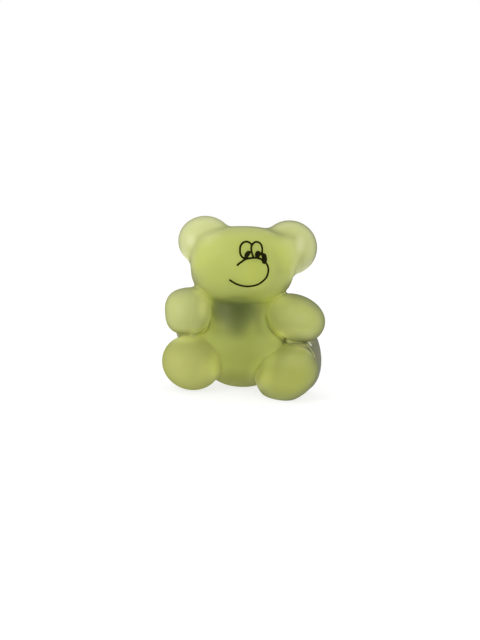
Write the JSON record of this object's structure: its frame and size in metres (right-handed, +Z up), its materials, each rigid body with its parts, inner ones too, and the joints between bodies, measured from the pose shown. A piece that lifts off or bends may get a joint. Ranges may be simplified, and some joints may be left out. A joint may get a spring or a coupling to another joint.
{
  "type": "toy gummy bear",
  "caption": "Sitting toy bear of soft translucent gel under a clear skin, with a wide round head, round ears, paws and feet held forward, and a simple face printed in dark ink.",
  "frame": {"origin": "centre of the bounding box at table height, under the belly", "axes": "+Z up, -Y the way the bear faces, +X towards the bear's left paw"},
  "size_m": [0.0602, 0.0424, 0.064],
  "materials": {
    "gel": "soft translucent yellow-green gel under a clear, lightly glossy skin",
    "ink": "dark brown-black printed ink",
    "clear_skin": "clear, faintly smoky soft plastic, with waves in its surface"
  },
  "bodies": {
    "root": {"bear": "gel"}
  },
  "joints": []
}
